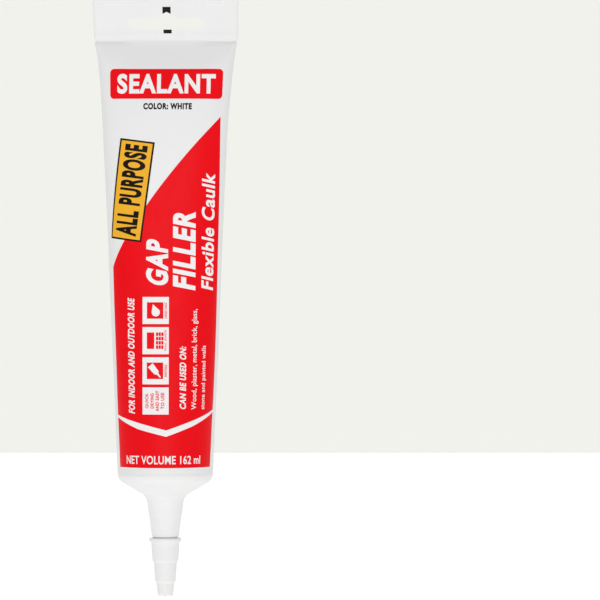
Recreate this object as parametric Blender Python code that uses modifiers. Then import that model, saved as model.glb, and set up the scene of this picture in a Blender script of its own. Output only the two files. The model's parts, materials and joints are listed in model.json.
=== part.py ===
"""Squeeze tube of caulk, hung nozzle down from the slot in its crimped tail.

Metres, +Z up, the printed front faces -Y. The origin is where a peg bears, at the middle of the
hang slot's upper edge. The film sleeve is crimped flat at the top and round at the bottom, where
a moulded head with a long nozzle closes it. A stepped cap pushes onto the nozzle from below.
"""
import math

import bmesh
import bpy
from mathutils import Matrix

# Driving dimensions
TUBE_DIAMETER = 0.0400        # round end of the sleeve
FILM = 0.0005                 # wall of the sleeve
GAP = 0.0003                  # left between pieces that touch

TAIL_WIDTH = 0.0607
TAIL_THICKNESS = 0.0010       # two walls of film, welded
TAIL_TOP = 0.0050             # top edge, above the peg
TAIL_HEIGHT = 0.0169          # top edge to fold line
FOLD_Z = TAIL_TOP - TAIL_HEIGHT
FOLD_CLEARANCE = 0.0008       # sleeve's end to the fold line, so that it clears the folded tail

SLOT_WIDTH = 0.0325
SLOT_TOP = -0.0023            # straight part of the upper edge
SLOT_BOTTOM = -0.0075
SLOT_CORNER = 0.0022
PEAK_HALF_WIDTH = 0.0046      # shallow peak that centres the peg

SLEEVE_LENGTH = 0.1813        # fold line to the shoulder's seam
CRIMP_WIDTH = 0.0596          # sleeve's width just under the fold
CREASE_REACH = 0.10           # share of the length over which the creases fade
CREASE_SHARE = 0.25           # share of the taper that happens in the creases
CREASE_TAKE_UP = 0.0040       # girth gathered into creases at the crimp
CRIMP_FLATNESS = 1.0          # added to the section's exponent at the crimp, 0 at the round end
WELD_LENGTH = 0.0040          # welded stretch below the fold, with no hollow

CORNER_RADIUS = 0.0040        # round edge of the shoulder
SHOULDER_ANGLE = math.radians(30)
SHOULDER_WALL = 0.0012
SKIRT_HEIGHT = 0.0030         # lap of the head inside the sleeve
SKIRT_WALL = 0.0010
NOZZLE_ROOT_RADIUS = 0.0078
NOZZLE_ROOT_Z = -0.0107       # heights from the seam, as the next three
LEDGE_Z = -0.0181
SEAT_Z = -0.0264
TIP_Z = -0.0445
NOZZLE_TAPER = 0.12           # radius lost for each unit of length
LEDGE_STEP = 0.00025
TIP_RADIUS_AT_SEAT = 0.00485
TIP_TAPER = 0.10
NOZZLE_WALL = 0.0012
FILLET_RADIUS = 0.0022

COLLAR_RADIUS = 0.00675
COLLAR_HEIGHT = 0.0017
CAP_STEPS = [                 # radius at top, radius at bottom, top and bottom below the rim
    (0.00595, 0.00550, -0.0019, -0.0100),
    (0.00486, 0.00436, -0.0113, -0.0180),
]
CAP_CORE_TOP = (0.00310, -0.0196)
CAP_CORE_END = (0.00240, -0.0233)
FIN_COUNT = 4
FIN_RADIUS = 0.00100
FIN_TOP = (0.00285, -0.0185)
FIN_END = (0.00233, -0.0233)

FILL_START = 0.0315           # headspace, fold line to the top of the caulk

# Mesh fineness
SECTION_POINTS = 40
TURN_STEPS = 40
SLEEVE_STATIONS = 16


def clear_scene():
    for old in list(bpy.data.objects):
        bpy.data.objects.remove(old, do_unlink=True)


def new_collection(name):
    collection = bpy.data.collections.new(name)
    bpy.context.scene.collection.children.link(collection)
    return collection


def plastic(name, colour, roughness):
    material = bpy.data.materials.new(name)
    material.use_nodes = True
    shader = material.node_tree.nodes["Principled BSDF"]
    shader.inputs["Base Color"].default_value = (*colour, 1.0)
    shader.inputs["Roughness"].default_value = roughness
    shader.inputs["Metallic"].default_value = 0.0
    return material


def add_object(name, data, collection, material=None, parent=None, z=0.0):
    piece = bpy.data.objects.new(name, data)
    collection.objects.link(piece)
    piece.parent = parent
    piece.location.z = z
    if material:
        data.materials.append(material)
    return piece


def add_empty(name, collection, parent=None, z=0.0):
    return add_object(name, None, collection, parent=parent, z=z)


def arc(centre, radius, start, end, steps):
    """Points of an arc, angles in radians from the first axis."""
    points = []
    for i in range(steps + 1):
        angle = start + (end - start) * i / steps
        points.append((centre[0] + radius * math.cos(angle), centre[1] + radius * math.sin(angle)))
    return points


# ---- the sleeve's form --------------------------------------------------------------------

def half_width(t):
    """Half the sleeve's width at t, 0 at the fold and 1 at the round end."""
    taper = (1 - CREASE_SHARE) * (1 - t) + CREASE_SHARE * math.exp(-t / CREASE_REACH)
    return (TUBE_DIAMETER + (CRIMP_WIDTH - TUBE_DIAMETER) * taper) / 2


def section(a, b, exponent):
    """Superellipse with half-width a (x) and half-depth b (y)."""
    points = []
    for i in range(SECTION_POINTS):
        angle = 2 * math.pi * i / SECTION_POINTS
        c, s = math.cos(angle), math.sin(angle)
        points.append((a * math.copysign(abs(c) ** (2 / exponent), c),
                       b * math.copysign(abs(s) ** (2 / exponent), s)))
    return points


def girth(points):
    return sum(math.dist(p, q) for p, q in zip(points, points[1:] + points[:1]))


def sleeve_size(t):
    """Half-width, half-depth and exponent at t. The film doesn't stretch, so its girth gives
    the depth, less what the creases under the crimp take up."""
    a = half_width(t)
    exponent = 2 + CRIMP_FLATNESS * (1 - t)
    round_end = girth(section(TUBE_DIAMETER / 2, TUBE_DIAMETER / 2, 2))
    wanted = round_end - CREASE_TAKE_UP * math.exp(-t / CREASE_REACH)
    low, high = TAIL_THICKNESS / 2, TUBE_DIAMETER / 2
    for _ in range(40):
        b = (low + high) / 2
        if girth(section(a, b, exponent)) < wanted:
            low = b
        else:
            high = b
    return a, b, exponent


def sleeve_ring(depth, inset=0.0):
    """Ring of the sleeve at this depth below the fold, moved inwards by inset."""
    a, b, exponent = sleeve_size(depth / SLEEVE_LENGTH)
    return [(x, y, -depth) for x, y in section(a - inset, b - inset, exponent)]


def stations(start, end, count):
    """Depths that are closer together near the crimp, where the form changes fastest."""
    return [start + (end - start) * (i / (count - 1)) ** 1.5 for i in range(count)]


def loft(name, rings):
    """Closed mesh through rings of equal length, with a flat face on each end."""
    bm = bmesh.new()
    loops = [[bm.verts.new(point) for point in ring] for ring in rings]
    for upper, lower in zip(loops, loops[1:]):
        for i in range(len(upper)):
            j = (i + 1) % len(upper)
            bm.faces.new((upper[i], lower[i], lower[j], upper[j]))
    bm.faces.new(loops[0])
    bm.faces.new(loops[-1][::-1])
    bmesh.ops.recalc_face_normals(bm, faces=bm.faces[:])
    mesh = bpy.data.meshes.new(name)
    bm.to_mesh(mesh)
    bm.free()
    mesh.shade_smooth()
    mesh.set_sharp_from_angle(angle=math.radians(40))
    return mesh


def turned(name, profile, collection, **place):
    """Solid of revolution about Z. The profile runs down its outer side, top to bottom."""
    mesh = bpy.data.meshes.new(name)
    mesh.from_pydata([(r, 0.0, z) for r, z in profile], [(i, i + 1) for i in range(len(profile) - 1)],
                     [])
    piece = add_object(name, mesh, collection, **place)
    screw = piece.modifiers.new("turn", "SCREW")
    screw.steps = TURN_STEPS
    screw.render_steps = TURN_STEPS
    screw.use_merge_vertices = True
    screw.merge_threshold = 0.00001
    screw.use_smooth_shade = True
    return piece


# ---- the pieces ---------------------------------------------------------------------------

def slot_outline():
    """Hang slot with round ends and a shallow peak in its upper edge, where the peg bears."""
    x = SLOT_WIDTH / 2 - SLOT_CORNER
    low, high = SLOT_BOTTOM + SLOT_CORNER, SLOT_TOP - SLOT_CORNER
    quarter = math.pi / 2
    return (arc((-x, low), SLOT_CORNER, -2 * quarter, -quarter, 5)
            + arc((x, low), SLOT_CORNER, -quarter, 0, 5)
            + arc((x, high), SLOT_CORNER, 0, quarter, 5)
            + [(PEAK_HALF_WIDTH, SLOT_TOP), (0.0, 0.0), (-PEAK_HALF_WIDTH, SLOT_TOP)]
            + arc((-x, high), SLOT_CORNER, quarter, 2 * quarter, 5))


def tail_outline():
    x = TAIL_WIDTH / 2
    low = FOLD_Z + GAP
    return [(-x, low), (x, low), (x, TAIL_TOP), (-x, TAIL_TOP)]


def add_outline(curve, points):
    spline = curve.splines.new("POLY")
    spline.points.add(len(points) - 1)
    for point, (x, z) in zip(spline.points, points):
        point.co = (x, z, 0.0, 1.0)
    spline.use_cyclic_u = True


def make_tail(collection, material):
    """Flat welded tail, pierced by the hang slot."""
    curve = bpy.data.curves.new("crimped_tail", "CURVE")
    curve.dimensions = "2D"
    curve.fill_mode = "BOTH"
    curve.extrude = TAIL_THICKNESS / 2
    add_outline(curve, tail_outline())
    add_outline(curve, slot_outline())
    tail = add_object("crimped_tail", curve, collection, material)
    tail.rotation_euler.x = math.pi / 2
    return tail


def make_sleeve(collection, material, parent):
    """Film shell, welded shut under the fold and open at the shoulder."""
    outer = [sleeve_ring(d) for d in stations(FOLD_CLEARANCE, SLEEVE_LENGTH, SLEEVE_STATIONS)]
    inner = [sleeve_ring(d, FILM) for d in stations(WELD_LENGTH, SLEEVE_LENGTH, SLEEVE_STATIONS)]
    mesh = loft("tube_sleeve", outer + inner[::-1])
    return add_object("tube_sleeve", mesh, collection, material, parent)


def shoulder_corner():
    """Round edge of the shoulder, from the seam down to the cone."""
    centre = (TUBE_DIAMETER / 2 - CORNER_RADIUS, -GAP)
    return arc(centre, CORNER_RADIUS, 0, SHOULDER_ANGLE - math.pi / 2, 5)


def cone_z(radius):
    """Height of the outer cone at this radius, from the seam."""
    corner_r, corner_z = shoulder_corner()[-1]
    return corner_z - (corner_r - radius) * math.tan(SHOULDER_ANGLE)


def nozzle_radius(z):
    """Outer radius of the nozzle above its seat, z from the seam."""
    radius = NOZZLE_ROOT_RADIUS - NOZZLE_TAPER * (NOZZLE_ROOT_Z - z)
    return radius if z > LEDGE_Z else radius - LEDGE_STEP


def tip_radius(z):
    """Outer radius of the stretch that the cap covers, z from the seam."""
    return TIP_RADIUS_AT_SEAT - TIP_TAPER * (SEAT_Z - z)


def root_fillet():
    """Hollow curve where the cone runs into the nozzle."""
    lean = math.atan(NOZZLE_TAPER)
    tangent = FILLET_RADIUS * math.tan((math.pi / 2 - SHOULDER_ANGLE - lean) / 2)
    meet = nozzle_radius(cone_z(NOZZLE_ROOT_RADIUS))
    start_r = meet + tangent * math.cos(SHOULDER_ANGLE)
    centre = (start_r + FILLET_RADIUS * math.sin(SHOULDER_ANGLE),
              cone_z(start_r) - FILLET_RADIUS * math.cos(SHOULDER_ANGLE))
    return arc(centre, FILLET_RADIUS, math.pi / 2 + SHOULDER_ANGLE, math.pi - lean, 4)


def bore_line():
    """Inner line of the head, from the closed tip up to the top of the skirt."""
    inner_skirt = TUBE_DIAMETER / 2 - FILM - GAP - SKIRT_WALL
    bore_root = NOZZLE_ROOT_RADIUS - NOZZLE_WALL
    lift = SHOULDER_WALL / math.cos(SHOULDER_ANGLE)
    end = TIP_Z + NOZZLE_WALL
    return [
        (tip_radius(end) - NOZZLE_WALL, end),
        (tip_radius(SEAT_Z) - NOZZLE_WALL, SEAT_Z),
        (nozzle_radius(SEAT_Z) - 1.5 * NOZZLE_WALL, SEAT_Z + NOZZLE_WALL),
        (bore_root, cone_z(bore_root) + lift),
        (inner_skirt, cone_z(inner_skirt) + lift),
        (inner_skirt, SKIRT_HEIGHT),
    ]


def make_head(collection, material, parent):
    """Moulded shoulder and nozzle in one piece. Its closed tip is cut off before use."""
    skirt = TUBE_DIAMETER / 2 - FILM - GAP
    nozzle = [
        (nozzle_radius(LEDGE_Z + GAP), LEDGE_Z + GAP),
        (nozzle_radius(LEDGE_Z), LEDGE_Z),
        (nozzle_radius(SEAT_Z), SEAT_Z),
        (tip_radius(SEAT_Z), SEAT_Z - GAP),
        (tip_radius(TIP_Z), TIP_Z + GAP),
        (tip_radius(TIP_Z) - GAP, TIP_Z),
    ]
    inner = bore_line()
    profile = ([(0.0, inner[0][1])] + inner + [(skirt, SKIRT_HEIGHT), (skirt, -GAP)]
               + shoulder_corner() + root_fillet() + nozzle + [(0.0, TIP_Z)])
    return turned("tube_head", profile, collection, material=material, parent=parent,
                  z=-SLEEVE_LENGTH)


def make_fill(collection, material, parent):
    """Caulk, a little clear of the film and of the head's inside."""
    bottom = SLEEVE_LENGTH - SKIRT_HEIGHT - 2 * GAP
    depths = stations(FILL_START, bottom, SLEEVE_STATIONS - 4)
    rings = [sleeve_ring(depth, FILM + GAP) for depth in depths]
    for radius, z in bore_line()[::-1]:
        radius -= 2 * GAP
        level = max(z, TIP_Z + NOZZLE_WALL + 2 * GAP) - SLEEVE_LENGTH
        rings.append([(x, y, level) for x, y in section(radius, radius, 2)])
    return add_object("caulk_fill", loft("caulk_fill", rings), collection, material, parent)


def make_cap(collection, cutters, material, parent):
    """Stepped push-on cap with a collar at its mouth and fins on its closed end."""
    bore = TIP_RADIUS_AT_SEAT + GAP
    end = TIP_Z - SEAT_Z - GAP
    edge = COLLAR_HEIGHT / 4
    collar = arc((COLLAR_RADIUS - edge, -edge), edge, math.pi / 2, 0, 3) \
        + arc((COLLAR_RADIUS - edge, edge - COLLAR_HEIGHT), edge, 0, -math.pi / 2, 3)
    profile = [(0.0, end), (bore + TIP_TAPER * end, end), (bore, 0.0)] + collar
    for top_r, bottom_r, top_z, bottom_z in CAP_STEPS:
        profile += [(top_r, top_z), (bottom_r, bottom_z)]
    profile += [CAP_CORE_TOP, CAP_CORE_END, (0.0, CAP_CORE_END[1])]
    cap = turned("tip_cap", profile, collection, material=material, parent=parent)
    add_fins(cap, cutters)
    return cap


def add_fins(cap, cutters):
    """Round-ended fins, joined to the closed end of the cap."""
    length = math.dist(FIN_TOP, FIN_END)
    lean = math.atan2(FIN_TOP[0] - FIN_END[0], FIN_TOP[1] - FIN_END[1])
    profile = [(0.0, 0.0), (FIN_RADIUS, 0.0)] \
        + arc((0.0, -length), FIN_RADIUS, 0, -math.pi / 2, 4)
    profile[-1] = (0.0, -length - FIN_RADIUS)
    for i in range(FIN_COUNT):
        fin = turned(f"fin_{i}", profile, cutters)
        fin.modifiers["turn"].steps = fin.modifiers["turn"].render_steps = 12
        fin.hide_render = True
        fin.display_type = "WIRE"
        around = Matrix.Rotation(2 * math.pi * i / FIN_COUNT, 4, "Z")
        outward = Matrix.Translation((FIN_TOP[0], 0.0, FIN_TOP[1]))
        fin.parent = cap.parent
        fin.matrix_local = around @ outward @ Matrix.Rotation(lean, 4, "Y")
        join = cap.modifiers.new(f"fin_{i}", "BOOLEAN")
        join.operation = "UNION"
        join.solver = "EXACT"
        join.object = fin


def main():
    clear_scene()
    parts = new_collection("caulk_tube")
    cutters = new_collection("cutters")
    film = plastic("white_film", (0.86, 0.86, 0.86), 0.35)
    moulding = plastic("white_moulding", (0.90, 0.90, 0.90), 0.30)
    caulk = plastic("white_caulk", (0.82, 0.81, 0.78), 0.55)

    fold_axis = add_empty("fold_axis", parts, z=FOLD_Z)
    cap_axis = add_empty("cap_axis", parts, parent=fold_axis, z=SEAT_Z - SLEEVE_LENGTH - 2 * GAP)

    make_tail(parts, film)
    make_sleeve(parts, film, fold_axis)
    make_head(parts, moulding, fold_axis)
    make_fill(parts, caulk, fold_axis)
    make_cap(parts, cutters, moulding, cap_axis)


main()
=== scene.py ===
"""Looks of the caulk squeeze tube: film skin, print, moulded head and cap, studio and camera.

The skin is one film from the top of the crimped tail to the shoulder. Print is laid out flat, in
metres across (u, from the front's centre line) and down (depth, from the fold line), and then
wrapped onto the film.
"""
import json
import math

import bmesh
import bpy
import numpy as np
from mathutils import Matrix, Vector, noise


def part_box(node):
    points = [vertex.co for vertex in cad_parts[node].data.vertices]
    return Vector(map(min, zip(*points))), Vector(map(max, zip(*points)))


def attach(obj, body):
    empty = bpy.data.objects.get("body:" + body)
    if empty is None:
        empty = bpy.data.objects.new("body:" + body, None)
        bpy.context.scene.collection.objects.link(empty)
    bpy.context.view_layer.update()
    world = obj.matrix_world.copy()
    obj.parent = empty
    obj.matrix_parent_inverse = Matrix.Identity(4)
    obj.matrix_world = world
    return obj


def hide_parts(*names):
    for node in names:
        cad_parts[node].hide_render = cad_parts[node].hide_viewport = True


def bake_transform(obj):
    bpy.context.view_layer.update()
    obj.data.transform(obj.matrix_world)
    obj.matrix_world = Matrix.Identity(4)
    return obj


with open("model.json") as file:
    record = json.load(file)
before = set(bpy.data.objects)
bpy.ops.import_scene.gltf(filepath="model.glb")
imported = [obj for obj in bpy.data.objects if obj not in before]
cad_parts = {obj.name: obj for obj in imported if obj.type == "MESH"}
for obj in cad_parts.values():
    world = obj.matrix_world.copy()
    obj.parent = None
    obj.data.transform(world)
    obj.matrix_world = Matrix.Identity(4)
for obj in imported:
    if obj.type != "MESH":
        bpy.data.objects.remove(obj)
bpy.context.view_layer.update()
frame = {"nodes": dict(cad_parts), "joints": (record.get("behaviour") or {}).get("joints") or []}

MM = 0.001

# ---- sizes from the frame -------------------------------------------------------------------
TAIL_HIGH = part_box("crimped_tail")[1]
SLEEVE_LOW, SLEEVE_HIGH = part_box("tube_sleeve")
CAP_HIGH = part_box("tip_cap")[1]
FOLD_Z = next(j for j in frame["joints"] if j["name"] == "tail_fold")["pos_m"][2]

TUBE_RADIUS = SLEEVE_HIGH.y
TAIL_HALF_WIDTH = TAIL_HIGH.x
TAIL_HALF_THICKNESS = TAIL_HIGH.y
TAIL_HEIGHT = TAIL_HIGH.z - FOLD_Z
SEAM_Z = SLEEVE_LOW.z
SLEEVE_LENGTH = FOLD_Z - SEAM_Z
COLLAR_RADIUS = CAP_HIGH.x
CAP_MOUTH_Z = CAP_HIGH.z

# ---- the film's form ------------------------------------------------------------------------
FILM = 0.5 * MM
CRIMP_HALF_WIDTH = 29.8 * MM
TAIL_SHRINK = 0.5 * MM        # each side of the tail draws in by this much down to the fold
SIDE_STEP = 0.35 * MM         # the weld sits this much to the right of the tube's axis
CREASE_REACH = 0.10           # share of the length over which the creases fade
CREASE_SHARE = 0.25           # share of the taper that happens in the creases
CREASE_TAKE_UP = 2.6 * MM     # girth gathered into creases at the crimp
CRIMP_FLATNESS = 1.0          # added to the section's exponent at the crimp, 0 at the round end
WELD_LENGTH = 4.0 * MM        # welded stretch below the fold, with no hollow
SLEEVE_START = -0.4 * MM      # from here the tail's section turns into the sleeve's
SLEEVE_CHANGE = 1.6 * MM
SIDE_HOLD = 5.0 * MM          # depth down to which the side step is whole, and then its fade
SIDE_FADE = 40.0 * MM
OPENING_START = 0.1 * MM      # the film starts to open this far above the fold line
OPENING_REACH = 9.0 * MM      # depth over which the middle opens into the full section
CORNER_OPENING = 0.6 * MM     # and the corners
OPENING_MIDDLE = 8.0 * MM     # half-width of the middle, and then the width of the change
OPENING_CHANGE = 22.0 * MM
OPENING_EXPONENT = 1.15
EAR_PINCH = 0.25              # how flat the corners under the weld are pressed
EAR_REACH = 9.0 * MM
TAIL_FLARE = 0.25 * MM        # each side of the tail's top is wider than the CAD tail by this
TAIL_EXPONENT = 9.0           # nearly square edges on the flat tail

FRONT_COLUMNS = 81
GIRTH_SAMPLES = 721
HALVINGS = 30
INNER_ROW_STEP = 4            # the inner face has one row for this many outer rows

# ---- small relief on the film; depths are from the fold line --------------------------------
WELD_LINE = 0.10 * MM         # height, then depth and width
WELD_LINE_DEPTH = -2.1 * MM
WELD_LINE_WIDTH = 0.7 * MM
WELD_LINE_END = 0.8 * MM
CREASE = 0.45 * MM            # ridge that runs down inside each edge
CREASE_INSET = 0.8 * MM
CREASE_DRIFT = 0.28
CREASE_WIDTH = 1.1 * MM
CREASE_RISE = 2.0 * MM
CREASE_FADE = 13.0 * MM
FOLD_GROOVE = 0.75 * MM       # dip under the weld, towards the corners
FOLD_GROOVE_DEPTH = 0.35 * MM
FOLD_GROOVE_WIDTH = 0.55 * MM
CORNER_START = 15.0 * MM      # how far out the corners start, and then the width of the change
CORNER_CHANGE = 12.0 * MM
PILLOW = 0.6 * MM             # swelling under the weld, on both sides of the middle
PILLOW_X = 20.0 * MM
PILLOW_WIDTH = 5.5 * MM
PILLOW_START = 0.2 * MM
PILLOW_RISE = 2.8 * MM
PILLOW_FADE = 10.0 * MM
WAVE = 0.16 * MM              # soft unevenness of the filled film
WAVE_ACROSS = 17.0 * MM
WAVE_DOWN = 34.0 * MM
WAVE_LEAST = 0.15             # share of the waves that is left near the fold and the shoulder
WAVE_START = 2.0 * MM
WAVE_RISE = 20.0 * MM
WAVE_END = 25.0 * MM

# ---- hang slot ------------------------------------------------------------------------------
SLOT_HALF_WIDTH = 16.25 * MM
SLOT_TOP = -2.3 * MM
SLOT_BOTTOM = -7.3 * MM
SLOT_CORNER = 2.2 * MM
PEAK_HALF_WIDTH = 4.6 * MM
SLOT_SIDE_STEP = 0.45 * MM


def smooth(x, start=0.0, width=1.0):
    """Smooth step from 0 to 1 as x goes over the width from the start."""
    x = np.clip((x - start) / width, 0.0, 1.0)
    return x * x * (3 - 2 * x)


def bell(x, centre, width):
    return np.exp(-((x - centre) / width) ** 2)


def arc(centre, radius, start, end, steps):
    angles = [start + (end - start) * i / steps for i in range(steps + 1)]
    return [(centre[0] + radius * math.cos(a), centre[1] + radius * math.sin(a)) for a in angles]


# ---- film surface ---------------------------------------------------------------------------

class Film:
    """Grid of points over the film, row by row down the tube and column by column round it.

    Columns run from the left edge across the front to the right edge, and back behind."""

    def __init__(self):
        self.depth = self.row_depths()
        rows = [self.half_section(d) for d in self.depth]
        self.reach = np.array([length / 2 for _, length in rows])
        front = np.array([points for points, _ in rows])
        back = front[:, -2:0:-1] * (1, -1)
        ring = np.concatenate([front, back], axis=1)
        z = np.repeat((FOLD_Z - self.depth)[:, None], ring.shape[1], axis=1)
        self.points = np.dstack([ring, z])
        self.points = self.points + self.normals() * self.relief()[..., None]
        self.normal = self.normals()

    @staticmethod
    def row_depths():
        """Depths of the rows, closest together round the fold."""
        stops = [-TAIL_HEIGHT, -3 * MM, -0.6 * MM, 2 * MM, 14 * MM, SLEEVE_LENGTH]
        rows = [18, 8, 20, 36, 150]
        spans = [np.linspace(a, b, n, endpoint=False) for a, b, n in zip(stops, stops[1:], rows)]
        return np.append(np.concatenate(spans), SLEEVE_LENGTH)

    @staticmethod
    def superellipse(a, b, exponent, pinch=0.0):
        """Front half of a section, from left corner to right; pinch flattens the corners."""
        angle = np.linspace(math.pi, 2 * math.pi, GIRTH_SAMPLES)
        c, s = np.cos(angle), np.sin(angle)
        x = a * np.sign(c) * np.abs(c) ** (2 / exponent)
        y = -b * np.abs(s) ** (2 / exponent + 2 * pinch)
        return np.column_stack([x, y])

    @staticmethod
    def length(points):
        return np.linalg.norm(np.diff(points, axis=0), axis=1).sum()

    def sleeve_depth(self, a, exponent, t):
        """Half-depth that keeps the film's girth, found by halving."""
        wanted = math.pi * TUBE_RADIUS - CREASE_TAKE_UP / 2 * math.exp(-t / CREASE_REACH)
        low, high = TAIL_HALF_THICKNESS, TUBE_RADIUS
        for _ in range(HALVINGS):
            b = (low + high) / 2
            if self.length(self.superellipse(a, b, exponent)) < wanted:
                low = b
            else:
                high = b
        return b

    def half_section(self, depth):
        """Front half of the film's section at this depth, and its length."""
        t = max(depth, 0.0) / SLEEVE_LENGTH
        taper = (1 - CREASE_SHARE) * (1 - t) + CREASE_SHARE * math.exp(-t / CREASE_REACH)
        a = TUBE_RADIUS + (CRIMP_HALF_WIDTH - TUBE_RADIUS) * taper
        exponent = 2 + CRIMP_FLATNESS * (1 - t)
        b = self.sleeve_depth(a, exponent, t)
        onto_sleeve = float(smooth(depth, SLEEVE_START, SLEEVE_CHANGE))
        down_tail = min(1.0, 1 + depth / TAIL_HEIGHT)
        tail = TAIL_HALF_WIDTH + TAIL_FLARE - TAIL_SHRINK * down_tail
        a = tail + (a - tail) * onto_sleeve
        pinch = EAR_PINCH * math.exp(-max(depth, 0.0) / EAR_REACH) * onto_sleeve
        exponent = TAIL_EXPONENT + (exponent - TAIL_EXPONENT) * onto_sleeve
        fine = self.superellipse(a, 1.0, exponent, pinch)
        outward = np.clip((np.abs(fine[:, 0]) - OPENING_MIDDLE) / OPENING_CHANGE, 0, 1)
        reach = CORNER_OPENING + (OPENING_REACH - CORNER_OPENING) * (1 - outward ** 2)
        opening = 1 - np.exp(-(max(depth + OPENING_START, 0.0) / reach) ** OPENING_EXPONENT)
        fine[:, 1] *= TAIL_HALF_THICKNESS + (b - TAIL_HALF_THICKNESS) * opening
        steps = np.linalg.norm(np.diff(fine, axis=0), axis=1)
        along = np.concatenate([[0.0], np.cumsum(steps)])
        even = np.linspace(0.0, along[-1], FRONT_COLUMNS)
        points = np.column_stack([np.interp(even, along, fine[:, i]) for i in (0, 1)])
        aside = smooth(down_tail) * (1 - smooth(depth, SIDE_HOLD, SIDE_FADE))
        points[:, 0] += SIDE_STEP * aside
        return points, along[-1]

    def normals(self):
        down = np.gradient(self.points, axis=0)
        wrapped = np.concatenate([self.points[:, -1:], self.points, self.points[:, :1]], axis=1)
        across = (wrapped[:, 2:] - wrapped[:, :-2]) / 2
        n = np.cross(down, across)
        return n / np.linalg.norm(n, axis=2, keepdims=True)

    def relief(self):
        """Small heights along the normal: weld line, creases, groove, pillows and waviness."""
        x, y, z = self.points[..., 0], self.points[..., 1], self.points[..., 2]
        depth = self.depth[:, None]
        below = np.maximum(depth, 0.0)
        height = WELD_LINE * bell(depth, WELD_LINE_DEPTH, WELD_LINE_WIDTH)
        height = height * smooth(TAIL_HALF_WIDTH - np.abs(x), 0, WELD_LINE_END)

        from_edge = np.abs(x).max(axis=1)[:, None] - np.abs(x)
        fade = smooth(depth, 0, CREASE_RISE) * bell(depth, 0, CREASE_FADE)
        crease = bell(from_edge, CREASE_INSET + CREASE_DRIFT * below, CREASE_WIDTH)
        height = height + CREASE * crease * fade

        corner = smooth(np.abs(x), CORNER_START, CORNER_CHANGE)
        height = height - FOLD_GROOVE * bell(depth, FOLD_GROOVE_DEPTH, FOLD_GROOVE_WIDTH) * corner
        rise = smooth(depth, PILLOW_START, PILLOW_RISE) * np.exp(-below / PILLOW_FADE)
        height = height + PILLOW * bell(np.abs(x), PILLOW_X, PILLOW_WIDTH) * rise

        scaled = np.dstack([x / WAVE_ACROSS, y / WAVE_ACROSS, z / WAVE_DOWN]).reshape(-1, 3)
        wave = np.array([noise.noise(Vector(p)) for p in scaled]).reshape(x.shape)
        steady = smooth(depth, WAVE_START, WAVE_RISE) \
            * smooth(SLEEVE_LENGTH - depth, 0, WAVE_END)
        return height + WAVE * wave * (WAVE_LEAST + (1 - WAVE_LEAST) * steady)

    def place(self, u, depth, lift):
        """Points on the front at u and depth, lifted along the normal."""
        row = np.interp(depth, self.depth, np.arange(len(self.depth)))
        reach = np.interp(depth, self.depth, self.reach)
        column = np.clip((u / reach + 1) / 2, 0, 1) * (FRONT_COLUMNS - 1)
        i = np.minimum(row.astype(int), len(self.depth) - 2)
        j = np.minimum(column.astype(int), FRONT_COLUMNS - 2)
        v, w = (row - i)[:, None], (column - j)[:, None]

        def sample(grid):
            upper = grid[i, j] * (1 - w) + grid[i, j + 1] * w
            lower = grid[i + 1, j] * (1 - w) + grid[i + 1, j + 1] * w
            return upper * (1 - v) + lower * v

        return sample(self.points) + sample(self.normal) * lift


film = Film()


# ---- mesh helpers ---------------------------------------------------------------------------

def new_object(name, mesh, material):
    piece = bpy.data.objects.new(name, mesh)
    bpy.context.scene.collection.objects.link(piece)
    if material:
        mesh.materials.clear()
        mesh.materials.append(material)
    return piece


def applied(piece):
    """A copy of the piece's mesh with its modifiers applied; the piece is removed."""
    graph = bpy.context.evaluated_depsgraph_get()
    mesh = bpy.data.meshes.new_from_object(piece.evaluated_get(graph))
    mesh.transform(piece.matrix_world)
    bpy.data.objects.remove(piece)
    return mesh


def shade(mesh, degrees=35):
    mesh.shade_smooth()
    mesh.set_sharp_from_angle(angle=math.radians(degrees))


def keep_rest(mesh):
    """Stores where each point is at rest, so that patterns stay put when the film bends."""
    rest = mesh.attributes.new("rest", "FLOAT_VECTOR", "POINT")
    co = np.zeros(len(mesh.vertices) * 3, np.float32)
    mesh.vertices.foreach_get("co", co)
    rest.data.foreach_set("vector", co)


def lathe(name, profile, steps):
    """Mesh turned about Z. The profile runs down the outer side; ends on the axis are closed."""
    verts, faces, rings = [], [], []
    for r, z in profile:
        if r < 1e-7:
            rings.append([len(verts)] * steps)
            verts.append((0.0, 0.0, z))
        else:
            rings.append(list(range(len(verts), len(verts) + steps)))
            for i in range(steps):
                angle = 2 * math.pi * i / steps
                verts.append((r * math.cos(angle), r * math.sin(angle), z))
    for upper, lower in zip(rings, rings[1:]):
        for i in range(steps):
            j = (i + 1) % steps
            corners = [upper[i], lower[i], lower[j], upper[j]]
            faces.append(list(dict.fromkeys(corners)))
    mesh = bpy.data.meshes.new(name)
    mesh.from_pydata(verts, [], faces)
    return mesh


def rounded(corners, steps=5):
    """Outline through corners (r, z, radius), each corner with a radius made an arc."""
    points = []
    for k, (r, z, radius) in enumerate(corners):
        here = Vector((r, z))
        if radius <= 0:
            points.append((r, z))
            continue
        before = (Vector(corners[k - 1][:2]) - here).normalized()
        after = (Vector(corners[k + 1][:2]) - here).normalized()
        half = before.angle(after) / 2
        centre = here + (before + after).normalized() * radius / math.sin(half)
        reach = radius / math.tan(half)
        start = (here + before * reach - centre).normalized()
        end = (here + after * reach - centre).normalized()
        for i in range(steps + 1):
            points.append(tuple(centre + start.slerp(end, i / steps) * radius))
    return points


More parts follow.
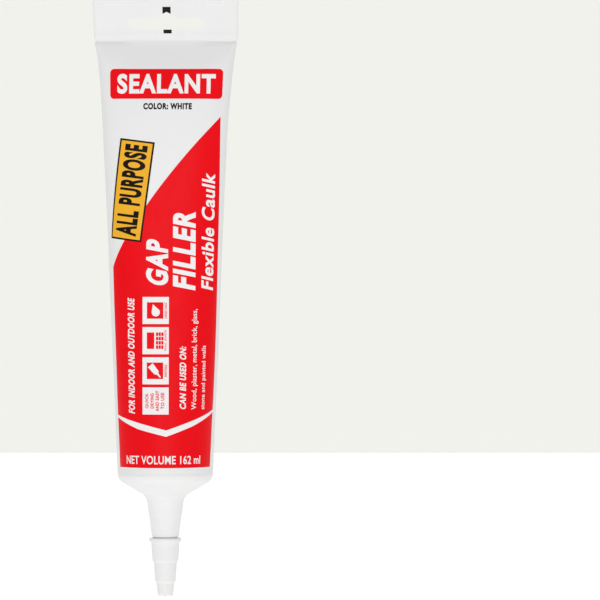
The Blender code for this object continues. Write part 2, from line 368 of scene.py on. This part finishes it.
def flat_mesh(name, outlines):
    """Filled flat mesh of closed outlines; an outline inside another is a hole."""
    curve = bpy.data.curves.new(name, "CURVE")
    curve.dimensions = "2D"
    curve.fill_mode = "BOTH"
    for outline in outlines:
        spline = curve.splines.new("POLY")
        spline.points.add(len(outline) - 1)
        for point, (x, y) in zip(spline.points, outline):
            point.co = (x, y, 0.0, 1.0)
        spline.use_cyclic_u = True
    return applied(new_object(name, curve, None))


# ---- materials ------------------------------------------------------------------------------

def new_material(name, colour, roughness, specular=0.5):
    material = bpy.data.materials.new(name)
    material.use_nodes = True
    nodes, links = material.node_tree.nodes, material.node_tree.links
    shader = nodes["Principled BSDF"]
    shader.inputs["Base Color"].default_value = (*colour, 1)
    shader.inputs["Roughness"].default_value = roughness
    shader.inputs["Specular IOR Level"].default_value = specular
    return material, nodes, links, shader


def node(nodes, kind, **settings):
    made = nodes.new(kind)
    for key, value in settings.items():
        if key in made.inputs:
            made.inputs[key].default_value = value
        else:
            setattr(made, key, value)
    return made


def rest_vector(nodes):
    return node(nodes, "ShaderNodeAttribute", attribute_name="rest").outputs["Vector"]


def add_noise(nodes, links, vector, scale, detail=3.0, stretch=(1, 1, 1)):
    mapping = node(nodes, "ShaderNodeMapping")
    mapping.inputs["Scale"].default_value = stretch
    links.new(vector, mapping.inputs["Vector"])
    texture = node(nodes, "ShaderNodeTexNoise")
    texture.inputs["Scale"].default_value = scale
    texture.inputs["Detail"].default_value = detail
    links.new(mapping.outputs["Vector"], texture.inputs["Vector"])
    return texture.outputs["Fac"]


def remap(nodes, links, value, low, high, from_low=0.3, from_high=0.7):
    made = node(nodes, "ShaderNodeMapRange")
    made.inputs["From Min"].default_value = from_low
    made.inputs["From Max"].default_value = from_high
    made.inputs["To Min"].default_value = low
    made.inputs["To Max"].default_value = high
    links.new(value, made.inputs["Value"])
    return made.outputs["Result"]


def mix_colour(nodes, links, factor, first, second):
    made = node(nodes, "ShaderNodeMix", data_type="RGBA")
    made.inputs[6].default_value = (*first, 1)
    made.inputs[7].default_value = (*second, 1)
    links.new(factor, made.inputs[0])
    return made.outputs[2]


def add_bump(nodes, links, shader, height, distance, strength=1.0):
    bump = node(nodes, "ShaderNodeBump")
    bump.inputs["Strength"].default_value = strength
    bump.inputs["Distance"].default_value = distance
    links.new(height, bump.inputs["Height"])
    links.new(bump.outputs["Normal"], shader.inputs["Normal"])


def film_material():
    """White polyethylene film, with painted shade: greyer in a band just under the fold, where
    the film slopes back up to the weld.
    """
    material, nodes, links, shader = new_material("white_film", (0.88, 0.88, 0.88), 0.42, 0.35)
    rest = rest_vector(nodes)
    parts = node(nodes, "ShaderNodeSeparateXYZ")
    links.new(rest, parts.inputs[0])
    # Painted shade: the film darkens from 40 mm below the fold towards it, darkest in the last 8
    # mm under the weld; the tail above the fold stays light.
    height = remap(nodes, links, parts.outputs["Z"], 0.0, 1.0, FOLD_Z - 40 * MM, FOLD_Z)
    painted_shade_tones = [(0.80, (0.882, 0.882, 0.885)), (0.985, (0.878, 0.878, 0.880)),
             (1.0, (0.905, 0.905, 0.905))]
    fade = node(nodes, "ShaderNodeValToRGB")
    stops = fade.color_ramp.elements
    stops.remove(stops[1])
    stops[0].color = (0.905, 0.905, 0.908, 1)
    for position, tone in painted_shade_tones:
        stops.new(position).color = (*tone, 1)
    links.new(height, fade.inputs["Fac"])
    mottle = add_noise(nodes, links, rest, 90.0, 4.0, (1, 1, 0.5))
    tint = node(nodes, "ShaderNodeMix", data_type="RGBA", blend_type="MULTIPLY")
    tint.inputs[0].default_value = 1.0
    links.new(fade.outputs["Color"], tint.inputs[6])
    links.new(mix_colour(nodes, links, mottle, (0.985, 0.985, 0.985), (1, 1, 1)), tint.inputs[7])
    links.new(tint.outputs[2], shader.inputs["Base Color"])
    wear = add_noise(nodes, links, rest, 260.0, 5.0, (1, 1, 0.25))
    links.new(remap(nodes, links, wear, 0.36, 0.50), shader.inputs["Roughness"])
    grain = add_noise(nodes, links, rest, 900.0, 3.0, (1, 1, 0.15))
    add_bump(nodes, links, shader, grain, 0.02 * MM, 0.5)
    return material


def moulding_material():
    material, nodes, links, shader = new_material("white_moulding", (0.92, 0.92, 0.92), 0.33, 0.4)
    vector = node(nodes, "ShaderNodeTexCoord").outputs["Object"]
    mottle = add_noise(nodes, links, vector, 120.0, 4.0)
    colour = mix_colour(nodes, links, mottle, (0.905, 0.905, 0.905), (0.93, 0.93, 0.93))
    links.new(colour, shader.inputs["Base Color"])
    wear = add_noise(nodes, links, vector, 500.0, 4.0)
    links.new(remap(nodes, links, wear, 0.27, 0.40), shader.inputs["Roughness"])
    add_bump(nodes, links, shader, wear, 0.015 * MM, 0.5)
    return material


def caulk_material():
    material, nodes, links, shader = new_material("white_caulk", (0.82, 0.81, 0.78), 0.55)
    vector = node(nodes, "ShaderNodeTexCoord").outputs["Object"]
    lumps = add_noise(nodes, links, vector, 150.0, 5.0)
    links.new(mix_colour(nodes, links, lumps, (0.79, 0.78, 0.74), (0.85, 0.84, 0.81)),
              shader.inputs["Base Color"])
    add_bump(nodes, links, shader, lumps, 0.2 * MM)
    return material


def ink_material(name, dark, light, roughness=0.34):
    """Printed ink: a solid tone with faint mottling and slightly uneven gloss."""
    material, nodes, links, shader = new_material(name, light, roughness, 0.07)
    rest = rest_vector(nodes)
    mottle = add_noise(nodes, links, rest, 220.0, 5.0)
    links.new(mix_colour(nodes, links, mottle, dark, light), shader.inputs["Base Color"])
    gloss = add_noise(nodes, links, rest, 420.0, 4.0, (1, 1, 0.3))
    links.new(remap(nodes, links, gloss, roughness - 0.05, roughness + 0.08),
              shader.inputs["Roughness"])
    grain = add_noise(nodes, links, rest, 900.0, 3.0, (1, 1, 0.15))
    add_bump(nodes, links, shader, grain, 0.02 * MM, 0.5)
    return material


# ---- skin -----------------------------------------------------------------------------------

EDGE_ROUNDING = 0.12 * MM
CUTTER_DEPTH = 6.0 * MM


def slot_outline():
    """Hang slot in x and z, with round ends and a shallow peak in its upper edge."""
    x = SLOT_HALF_WIDTH - SLOT_CORNER
    low, high = SLOT_BOTTOM + SLOT_CORNER, SLOT_TOP - SLOT_CORNER
    right = math.pi / 2
    return (arc((-x, low), SLOT_CORNER, -2 * right, -right, 10)
            + arc((x, low), SLOT_CORNER, -right, 0, 10)
            + arc((x, high), SLOT_CORNER, 0, right, 10)
            + rounded([(PEAK_HALF_WIDTH + MM, SLOT_TOP, 0), (PEAK_HALF_WIDTH, SLOT_TOP, 1.5 * MM),
                       (0.0, 0.0, 1.0 * MM), (-PEAK_HALF_WIDTH, SLOT_TOP, 1.5 * MM),
                       (-PEAK_HALF_WIDTH - MM, SLOT_TOP, 0)])
            + arc((-x, high), SLOT_CORNER, right, 2 * right, 10))


def soften(mesh):
    """Rounds the slot's edges and the tail's sides; the two end rims stay square."""
    bm = bmesh.new()
    bm.from_mesh(mesh)
    edges = [e for e in bm.edges if len(e.link_faces) == 2
             and e.calc_face_angle() > math.radians(60)
             and FOLD_Z < e.verts[0].co.z < TAIL_HIGH.z - EDGE_ROUNDING]
    bmesh.ops.bevel(bm, geom=edges, offset=EDGE_ROUNDING, segments=2, profile=0.5,
                    affect="EDGES", clamp_overlap=True)
    bm.to_mesh(mesh)
    bm.free()


def skin_faces(rows, columns):
    """Quads between the rows of points, and a strip across each end."""
    faces = []
    for i in range(rows - 1):
        for j in range(columns):
            k = (j + 1) % columns
            a, b = i * columns, (i + 1) * columns
            faces.append((a + j, b + j, b + k, a + k))
    for start in (0, (rows - 1) * columns):
        for j in range(FRONT_COLUMNS - 1):
            ring = [start + j, start + (columns - j) % columns,
                    start + (columns - j - 1) % columns, start + j + 1]
            ring = list(dict.fromkeys(ring))
            faces.append(ring if start == 0 else ring[::-1])
    return faces


def make_skin(material):
    """The film as one closed solid: outer face down, inner face back up, then the slot cut."""
    rows, columns = film.points.shape[:2]
    hollow = np.flatnonzero(film.depth > WELD_LENGTH)[::INNER_ROW_STEP]
    hollow = np.append(hollow[hollow < rows - 1], rows - 1)[::-1]
    inner = film.points[hollow] - film.normal[hollow] * FILM
    grid = np.concatenate([film.points, inner])
    mesh = bpy.data.meshes.new("film_skin")
    mesh.from_pydata(grid.reshape(-1, 3).tolist(), [], skin_faces(len(grid), columns))
    skin = new_object("film_skin", mesh, material)

    cutter = new_object("slot_cutter", flat_mesh("slot_cutter", [slot_outline()]), None)
    cutter.matrix_world = Matrix.Translation((SLOT_SIDE_STEP, 0, 0)) \
        @ Matrix.Rotation(math.pi / 2, 4, "X")
    solid = cutter.modifiers.new("deep", "SOLIDIFY")
    solid.thickness, solid.offset = CUTTER_DEPTH, 0.0
    cut = skin.modifiers.new("slot", "BOOLEAN")
    cut.operation, cut.solver, cut.object = "DIFFERENCE", "EXACT", cutter
    bpy.context.view_layer.update()
    mesh = applied(skin)
    bpy.data.objects.remove(cutter)
    soften(mesh)
    shade(mesh, 40)
    keep_rest(mesh)
    skin = new_object("film_skin", mesh, material)
    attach(skin, "tube")
    skin.parent = None
    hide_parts("crimped_tail", "tube_sleeve")
    return skin


# ---- print ----------------------------------------------------------------------------------

INK_LAYER = 0.04 * MM
INK_STEP = 0.8 * MM


def sliced(bm, axis, step):
    """Cuts a flat mesh into strips, so that it can follow the film."""
    values = [v.co[axis] for v in bm.verts]
    normal = Vector((0, 0, 0))
    normal[axis] = 1
    for k in range(math.ceil(min(values) / step), math.floor(max(values) / step) + 1):
        geometry = bm.verts[:] + bm.edges[:] + bm.faces[:]
        bmesh.ops.bisect_plane(bm, geom=geometry, dist=1e-7, plane_co=normal * k * step,
                               plane_no=normal)


def wrap(name, meshes, material, layer, body="tube"):
    """Lays flat meshes on the film as one thin slab, layer counting up from the film."""
    bm = bmesh.new()
    for mesh in meshes:
        bm.from_mesh(mesh)
        bpy.data.meshes.remove(mesh)
    sliced(bm, 0, INK_STEP)
    sliced(bm, 1, 2 * INK_STEP)
    bmesh.ops.remove_doubles(bm, verts=bm.verts[:], dist=1e-6)
    bm.normal_update()
    bmesh.ops.reverse_faces(bm, faces=[f for f in bm.faces if f.normal.z < 0])
    flat = np.array([v.co[:] for v in bm.verts])
    for vert, co in zip(bm.verts, film.place(flat[:, 0], -flat[:, 1], INK_LAYER * layer)):
        vert.co = co
    mesh = bpy.data.meshes.new(name)
    bm.to_mesh(mesh)
    bm.free()
    piece = new_object(name, mesh, None)
    slab = piece.modifiers.new("slab", "SOLIDIFY")
    slab.thickness, slab.offset = 1.2 * INK_LAYER, -1.0
    mesh = applied(piece)
    mesh.name = name
    shade(mesh)
    keep_rest(mesh)
    piece = new_object(name, mesh, material)
    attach(piece, body)
    return piece


def turned(points, degrees, centre):
    turn = Matrix.Rotation(math.radians(degrees), 2)
    return [tuple(turn @ Vector(p) + Vector(centre)) for p in points]


def rectangle(width, height, corner=0.0):
    x, y = width / 2, height / 2
    if corner == 0:
        return [(-x, -y), (x, -y), (x, y), (-x, y)]
    quarter = math.pi / 2
    x, y = x - corner, y - corner
    return (arc((-x, -y), corner, 2 * quarter, 3 * quarter, 8)
            + arc((x, -y), corner, 3 * quarter, 4 * quarter, 8)
            + arc((x, y), corner, 0, quarter, 8)
            + arc((-x, y), corner, quarter, 2 * quarter, 8))


def lettering(words, centre, height, length, degrees=0.0, lean=0.0, weight=0.0):
    """Flat mesh of words fitted to a letter height and a length, leaned, turned and centred."""
    font = bpy.data.curves.new("words", "FONT")
    font.body = words
    font.offset = weight
    font.space_character = 1 + 3.0 * weight
    font.resolution_u = 6
    mesh = applied(new_object("words", font, None))
    co = np.array([v.co[:] for v in mesh.vertices])
    low, high = co.min(axis=0), co.max(axis=0)
    shear = height * math.tan(math.radians(lean))
    size = np.array([(length - shear) / (high[0] - low[0]), height / (high[1] - low[1])])
    flat = (co - (low + high) / 2)[:, :2] * size
    flat[:, 0] += flat[:, 1] / height * shear
    angle = math.radians(degrees)
    turn = np.array([[math.cos(angle), -math.sin(angle)], [math.sin(angle), math.cos(angle)]])
    placed = np.zeros((len(co), 3), np.float32)
    placed[:, :2] = flat @ turn.T + np.array(centre)
    mesh.vertices.foreach_set("co", placed.ravel())
    return mesh


def at(u, depth):
    """Place in the flat layout, from millimetres across and below the fold line."""
    return (u * MM, -depth * MM)


def shape(points):
    return flat_mesh("shape", [points])


def block(width, height, centre, degrees=0.0, corner=0.0):
    """Flat rectangle with sides in millimetres, turned and put in place."""
    return shape(turned(rectangle(width * MM, height * MM, corner * MM), degrees, centre))


PANEL_START = at(23.7, 32.3)  # ends of the panel's upper edge
PANEL_END = at(-23.3, 95.0)
PANEL_RISE = 2.7 * MM         # how far that edge bows out of a straight line
PANEL_BOTTOM = 178.2          # millimetres below the fold
LABEL_CENTRE = at(-13.95, 63.1)
LABEL_TILT = -7.6             # degrees
ICON_U = -3.6                 # the squares' pictures: millimetres across, and below the fold
ICON_DEPTHS = (113.1, 125.6, 138.05, 150.5)
ICON_SIDE = 6.8


def print_panel(red):
    """Red panel, its upper edge an arc falling from the right to the left."""
    start, end = Vector(PANEL_START), Vector(PANEL_END)
    across = (end - start).normalized()
    outward = Vector((across.y, -across.x))
    edge = []
    for i in range(41):
        t = i / 40
        rise = PANEL_RISE * 4 * t * (1 - t)
        edge.append(tuple(start.lerp(end, t) + outward * rise))
    sides = [at(-23.1, 120), at(-23.3, 150), at(-23.1, PANEL_BOTTOM), at(24.1, PANEL_BOTTOM),
             at(24.9, 150), at(24.8, 120), at(24.2, 70)]
    wrap("red_panel", [shape(edge + sides)], red, 1)


def print_plaque(red, white, black):
    place = at(0.5, 18.65)
    wrap("plaque", [block(47.2, 12.6, place, corner=1.7)], red, 1)
    wrap("plaque_word", [lettering("SEALANT", place, 8.4 * MM, 41.0 * MM, weight=0.04)], white, 2)
    wrap("colour_word", [lettering("COLOR: WHITE", at(1.15, 28.1), 2.7 * MM, 20.2 * MM,
                                   weight=0.055)], black, 1)


def print_label(black, yellow):
    border = block(14.6, 41.9, LABEL_CENTRE, LABEL_TILT, 0.15)
    field = block(13.1, 40.4, LABEL_CENTRE, LABEL_TILT)
    words = lettering("ALL PURPOSE", LABEL_CENTRE, 9.6 * MM, 38.0 * MM, 90 + LABEL_TILT,
                      weight=0.045)
    wrap("label_border", [border], black, 2)
    wrap("label_field", [field], yellow, 3)
    wrap("label_words", [words], black, 4)


def print_words(white):
    column = [
        lettering("GAP", at(-2.8, 93.2), 9.3 * MM, 20.4 * MM, 90, 11, 0.042),
        lettering("FILLER", at(8.45, 87.6), 9.4 * MM, 34.4 * MM, 90, 11, 0.042),
        lettering("Flexible Caulk", at(18.7, 80.0), 6.0 * MM, 49.6 * MM, 90, 11, 0.025),
        lettering("FOR INDOOR AND OUTDOOR USE", at(-13.9, 131.8), 3.1 * MM, 48.1 * MM, 90, 11,
                  0.035),
        lettering("CAN BE USED ON:", at(8.0, 140.9), 2.75 * MM, 26.4 * MM, 90, 11, 0.035),
        lettering("Wood, plaster, metal, brick, glass,", at(13.2, 133.3), 2.9 * MM, 41.6 * MM,
                  90, 0, 0.01),
        lettering("stone and painted walls", at(17.6, 140.9), 2.6 * MM, 26.4 * MM, 90, 0, 0.01),
        lettering("NET VOLUME 162 ml", at(-0.4, 174.9), 3.5 * MM, 34.0 * MM, 0, 0, 0.015),
    ]
    wrap("panel_words", column, white, 2)
    chevron = [at(-23.6, 156.3), at(1.1, 162.7), at(24.9, 154.3), at(24.9, 155.3),
               at(12.0, 161.2), at(1.1, 165.3), at(-11.0, 162.2), at(-23.6, 157.3)]
    wrap("chevron", [shape(chevron)], white, 2)


def print_icons(white, red):
    """Four white squares: a drop, tiles, a tube, and a few lines of words."""
    squares = [block(10.95, 11.2, at(ICON_U + 0.22, d)) for d in ICON_DEPTHS]
    wrap("icon_squares", squares, white, 2)
    reds = [block(ICON_SIDE, ICON_SIDE, at(ICON_U, ICON_DEPTHS[k])) for k in (0, 2)]
    reds.append(block(0.45 * ICON_SIDE, ICON_SIDE, at(ICON_U - 1.87, ICON_DEPTHS[1])))
    for i in range(3):
        for j in range(4):
            place = at(ICON_U + 0.85 + 1.1 * i, ICON_DEPTHS[1] - 2.67 + 1.78 * j)
            reds.append(block(0.9, 1.45, place))
    captions = [("DRIES FAST", 6.6), ("WALL JOINTS", 8.6), ("PAINTABLE", 5.0)]
    for (words, length), d in zip(captions, ICON_DEPTHS):
        reds.append(lettering(words, at(0.85, d), 1.1 * MM, length * MM, 90, 0, 0.02))
    lines = [("QUICK", 6.2), ("DRYING", 6.2), ("AND EASY", 8.6), ("TO USE", 6.8)]
    for k, (words, length) in enumerate(lines):
        place = at(-6.9 + 2.15 * k, ICON_DEPTHS[3])
        reds.append(lettering(words, place, 1.45 * MM, length * MM, 90, 0, 0.03))
    wrap("icon_inks", reds, red, 3)
    drop = arc((0, -0.8 * MM), 1.7 * MM, math.radians(155), math.radians(385), 24)
    drop.append((0, 2.7 * MM))
    tube = [(-1.3, 3.0), (1.3, 3.0), (1.1, -1.0), (0.4, -1.8), (0.25, -3.6), (-0.25, -3.6),
            (-0.4, -1.8), (-1.1, -1.0)]
    tube = [(x * MM, y * MM) for x, y in tube]
    wrap("icon_pictures", [shape(turned(drop, 20, at(ICON_U, ICON_DEPTHS[0]))),
                           shape(turned(tube, 40, at(ICON_U, ICON_DEPTHS[2])))], white, 4)


def print_marks(black):
    """Black register marks above and below the hang slot."""
    fold = FOLD_Z / MM
    upper = [at(-1.25, fold - 2.07), at(2.15, fold - 2.07), at(2.15, fold + 0.85),
             at(0.45, fold), at(-1.25, fold + 0.85)]
    lower = [at(-1.05, fold + 7.45), at(2.35, fold + 7.45), at(2.35, fold + 9.03),
             at(-1.05, fold + 9.03)]
    wrap("register_marks", [shape(upper), shape(lower)], black, 1, "tail")


# ---- head and cap ---------------------------------------------------------------------------

CORNER_RADIUS = 4.0 * MM
CORNER_Z = -2.6 * MM          # heights from the seam, as those below
SHOULDER_ANGLE = math.radians(30)
SHOULDER_FILLET = 5.0 * MM
NOZZLE_ROOT_RADIUS = 7.8 * MM
NOZZLE_ROOT_Z = -10.7 * MM
LEDGE_Z = -18.1 * MM
SEAT_Z = -26.4 * MM
TIP_Z = -44.5 * MM
NOZZLE_TAPER = 0.12
LEDGE_STEP = 0.18 * MM
SEAT_RADIUS = 4.85 * MM
TIP_TAPER = 0.10
NOZZLE_WALL = 1.2 * MM
GAP = 0.3 * MM                # left between pieces that touch
SEAM_GAP = 0.02 * MM          # between the film's rim and the shoulder
SKIRT_HEIGHT = 3.0 * MM       # lap of the head inside the film
SKIRT_WALL = 1.0 * MM
LATHE_STEPS = 144

FIN_RADIUS = 1.05 * MM        # at the top and at the round end
FIN_END_RADIUS = 1.0 * MM
FIN_LENGTH = 5.3 * MM
FIN_CENTRE = 2.85 * MM        # from the cap's axis
FIN_TOP = -18.4 * MM
FIN_LEAN = math.atan2(0.52, 4.8)


def nozzle_radius(z):
    radius = NOZZLE_ROOT_RADIUS - NOZZLE_TAPER * (NOZZLE_ROOT_Z - z)
    return radius if z > LEDGE_Z else radius - LEDGE_STEP


def make_head(material):
    """Shoulder and nozzle, with a closed tip that the cap covers."""
    skirt = TUBE_RADIUS - FILM - GAP
    slope = math.tan(SHOULDER_ANGLE)
    root_z = CORNER_Z - (TUBE_RADIUS - NOZZLE_ROOT_RADIUS) * slope
    tip = SEAT_RADIUS - TIP_TAPER * (SEAT_Z - TIP_Z)
    bore_end = TIP_Z + NOZZLE_WALL
    bore_root = NOZZLE_ROOT_RADIUS - NOZZLE_WALL
    outline = [
        (0.0, bore_end, 0),
        (tip - NOZZLE_WALL, bore_end, 0),
        (SEAT_RADIUS - NOZZLE_WALL, SEAT_Z, 0),
        (bore_root, root_z + 1.4 * MM, 0),
        (skirt - SKIRT_WALL, -2.0 * MM, 0),
        (skirt - SKIRT_WALL, SKIRT_HEIGHT, 0),
        (skirt, SKIRT_HEIGHT, 0),
        (skirt, -SEAM_GAP, 0),
        (TUBE_RADIUS, -SEAM_GAP, 0.05 * MM),
        (TUBE_RADIUS, CORNER_Z, CORNER_RADIUS),
        (nozzle_radius(root_z), root_z, SHOULDER_FILLET),
        (nozzle_radius(LEDGE_Z + 0.1 * MM), LEDGE_Z + 0.1 * MM, 0.15 * MM),
        (nozzle_radius(LEDGE_Z), LEDGE_Z - 0.1 * MM, 0.1 * MM),
        (nozzle_radius(SEAT_Z), SEAT_Z, 0.2 * MM),
        (SEAT_RADIUS, SEAT_Z - 0.25 * MM, 0.1 * MM),
        (tip, TIP_Z, 0.6 * MM),
        (0.0, TIP_Z, 0),
    ]
    mesh = lathe("head", [(r, z + SEAM_Z) for r, z in rounded(outline, 8)], LATHE_STEPS)
    shade(mesh, 30)
    head = new_object("moulded_head", mesh, material)
    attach(head, "tube")
    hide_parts("tube_head")
    return head


def make_cap(material):
    """Stepped cap, with a collar at the mouth and four round fins on the closed end."""
    bore = SEAT_RADIUS + GAP
    end = TIP_Z - SEAT_Z - GAP
    outline = [
        (0.0, end, 0),
        (bore + TIP_TAPER * end, end, 0),
        (bore, -0.3 * MM, 0),
        (bore + 0.3 * MM, 0.0, 0),
        (COLLAR_RADIUS, 0.0, 0.55 * MM),
        (COLLAR_RADIUS, -1.7 * MM, 0.6 * MM),
        (5.97 * MM, -1.8 * MM, 0.3 * MM),
        (5.51 * MM, -9.4 * MM, 0.2 * MM),
        (4.88 * MM, -10.4 * MM, 0.3 * MM),
        (4.36 * MM, -18.0 * MM, 0.35 * MM),
        (3.20 * MM, -19.3 * MM, 0.4 * MM),
        (3.05 * MM, -24.0 * MM, 0.4 * MM),
        (0.0, -23.8 * MM, 0),
    ]
    cap = new_object("cap", lathe("cap", rounded(outline, 6), LATHE_STEPS), material)
    fins = []
    round_end = arc((0.0, -FIN_LENGTH), FIN_END_RADIUS, 0, -math.pi / 2 * 0.98, 12)
    profile = [(0.0, 0.0), (FIN_RADIUS, 0.0)] + round_end \
        + [(0.0, -FIN_LENGTH - FIN_END_RADIUS)]
    for i in range(4):
        fin = new_object(f"fin_{i}", lathe("fin", profile, 40), None)
        fin.matrix_world = Matrix.Rotation(math.pi / 2 * i, 4, "Z") \
            @ Matrix.Translation((FIN_CENTRE, 0, FIN_TOP)) @ Matrix.Rotation(FIN_LEAN, 4, "Y")
        join = cap.modifiers.new(f"fin_{i}", "BOOLEAN")
        join.operation, join.solver, join.object = "UNION", "EXACT", fin
        fins.append(fin)
    bpy.context.view_layer.update()
    mesh = applied(cap)
    for fin in fins:
        bpy.data.objects.remove(fin)
    mesh.transform(Matrix.Translation((0, 0, CAP_MOUTH_Z)))
    shade(mesh, 40)
    cap = new_object("stepped_cap", mesh, material)
    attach(cap, "cap")
    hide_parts("tip_cap")
    return cap


# ---- studio ---------------------------------------------------------------------------------

CAMERA_LENS = 200.0
CAMERA_SENSOR = 36.0
VIEW_HEIGHT = 0.2513          # height of the view in the tail's plane
CAMERA_SIDE = 56.4 * MM       # the tube hangs left of the middle of the view
WALL_DISTANCE = 3.0
HORIZON_DROP = 0.0459         # slope from the camera down to where the floor meets the wall
FLOOR_SIDE = 8.0
FLOOR_NEAR = 0.62             # how much the floor glows round the object and further back
FLOOR_FAR = 0.80
SKY_FRONT = 0.86              # strength of the sky in front, at the sides and overhead
SKY_SIDE = 0.50
SKY_TOP_SHARE = 0.5
KEY_STRENGTH = 0.285 * math.pi


def make_camera():
    data = bpy.data.cameras.new("camera")
    data.lens, data.sensor_width = CAMERA_LENS, CAMERA_SENSOR
    camera = bpy.data.objects.new("camera", data)
    bpy.context.scene.collection.objects.link(camera)
    distance = VIEW_HEIGHT * CAMERA_LENS / CAMERA_SENSOR
    camera.location = (CAMERA_SIDE, -distance, TAIL_HIGH.z - VIEW_HEIGHT / 2)
    camera.rotation_euler = (math.pi / 2, 0, 0)
    bpy.context.scene.camera = camera
    return camera


def floor_material():
    """White floor that glows at the back, is dimmer round the object and is clear from below."""
    material, nodes, links, shader = new_material("floor_white", (0.5, 0.5, 0.5), 0.9, 0.0)
    shader.inputs["Emission Color"].default_value = (1, 1, 1, 1)
    parts = node(nodes, "ShaderNodeSeparateXYZ")
    links.new(node(nodes, "ShaderNodeNewGeometry").outputs["Position"], parts.inputs[0])
    glow = remap(nodes, links, parts.outputs["Y"], FLOOR_NEAR, FLOOR_FAR, 0.3, 0.8)
    links.new(glow, shader.inputs["Emission Strength"])
    clear = node(nodes, "ShaderNodeMixShader")
    links.new(node(nodes, "ShaderNodeNewGeometry").outputs["Backfacing"], clear.inputs[0])
    links.new(shader.outputs[0], clear.inputs[1])
    links.new(node(nodes, "ShaderNodeBsdfTransparent").outputs[0], clear.inputs[2])
    links.new(clear.outputs[0], nodes["Material Output"].inputs["Surface"])
    return material


def wall_material():
    material, nodes, links, shader = new_material("wall_pale", (0.30, 0.30, 0.29), 0.9, 0.0)
    shader.inputs["Emission Color"].default_value = (0.574, 0.582, 0.545, 1)
    shader.inputs["Emission Strength"].default_value = 1.0
    return material


def make_studio(camera):
    floor_z = camera.location.z - HORIZON_DROP * (WALL_DISTANCE - camera.location.y)
    square = rectangle(FLOOR_SIDE, FLOOR_SIDE)
    floor = new_object("floor", flat_mesh("floor", [square]), floor_material())
    floor.location = (0, WALL_DISTANCE - FLOOR_SIDE / 2, floor_z)
    wall = new_object("wall", flat_mesh("wall", [square]), wall_material())
    wall.rotation_euler = (math.pi / 2, 0, 0)
    wall.location = (0, WALL_DISTANCE, floor_z + FLOOR_SIDE / 2)

    world = bpy.data.worlds.new("studio")
    world.use_nodes = True
    nodes, links = world.node_tree.nodes, world.node_tree.links
    nodes["Background"].inputs["Color"].default_value = (1, 1, 1, 1)
    direction = node(nodes, "ShaderNodeSeparateXYZ")
    links.new(node(nodes, "ShaderNodeTexCoord").outputs["Generated"], direction.inputs[0])
    sideways = node(nodes, "ShaderNodeMath", operation="ABSOLUTE")
    links.new(direction.outputs["X"], sideways.inputs[0])
    strength = node(nodes, "ShaderNodeMath", operation="MULTIPLY")
    across = remap(nodes, links, sideways.outputs[0], SKY_FRONT, SKY_SIDE, 0.50, 1.0)
    upward = remap(nodes, links, direction.outputs["Z"], 1.0, SKY_TOP_SHARE, 0.0, 0.9)
    links.new(across, strength.inputs[0])
    links.new(upward, strength.inputs[1])
    links.new(strength.outputs[0], nodes["Background"].inputs["Strength"])
    bpy.context.scene.world = world
    bpy.context.scene.view_settings.view_transform = "Standard"

    key = bpy.data.lights.new("key", "SUN")
    key.energy = KEY_STRENGTH
    key.angle = math.radians(40)
    lamp = bpy.data.objects.new("key", key)
    lamp.rotation_euler = (math.radians(90), 0, 0)
    bpy.context.scene.collection.objects.link(lamp)


def main():
    white_film = film_material()
    moulding = moulding_material()
    frame["nodes"]["caulk_fill"].data.materials.clear()
    frame["nodes"]["caulk_fill"].data.materials.append(caulk_material())

    red = ink_material("red_ink", (0.90, 0.0030, 0.0085), (0.95, 0.0045, 0.011))
    yellow = ink_material("yellow_ink", (0.94, 0.47, 0.030), (0.98, 0.51, 0.036))
    black = ink_material("black_ink", (0.008, 0.006, 0.006), (0.012, 0.009, 0.009))
    white = ink_material("white_ink", (0.95, 0.945, 0.945), (0.98, 0.975, 0.975))

    skin = make_skin(white_film)
    print_plaque(red, white, black)
    print_panel(red)
    print_label(black, yellow)
    print_words(white)
    print_icons(white, red)
    print_marks(black)
    make_head(moulding)
    make_cap(moulding)
    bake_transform(skin)
    make_studio(make_camera())


main()
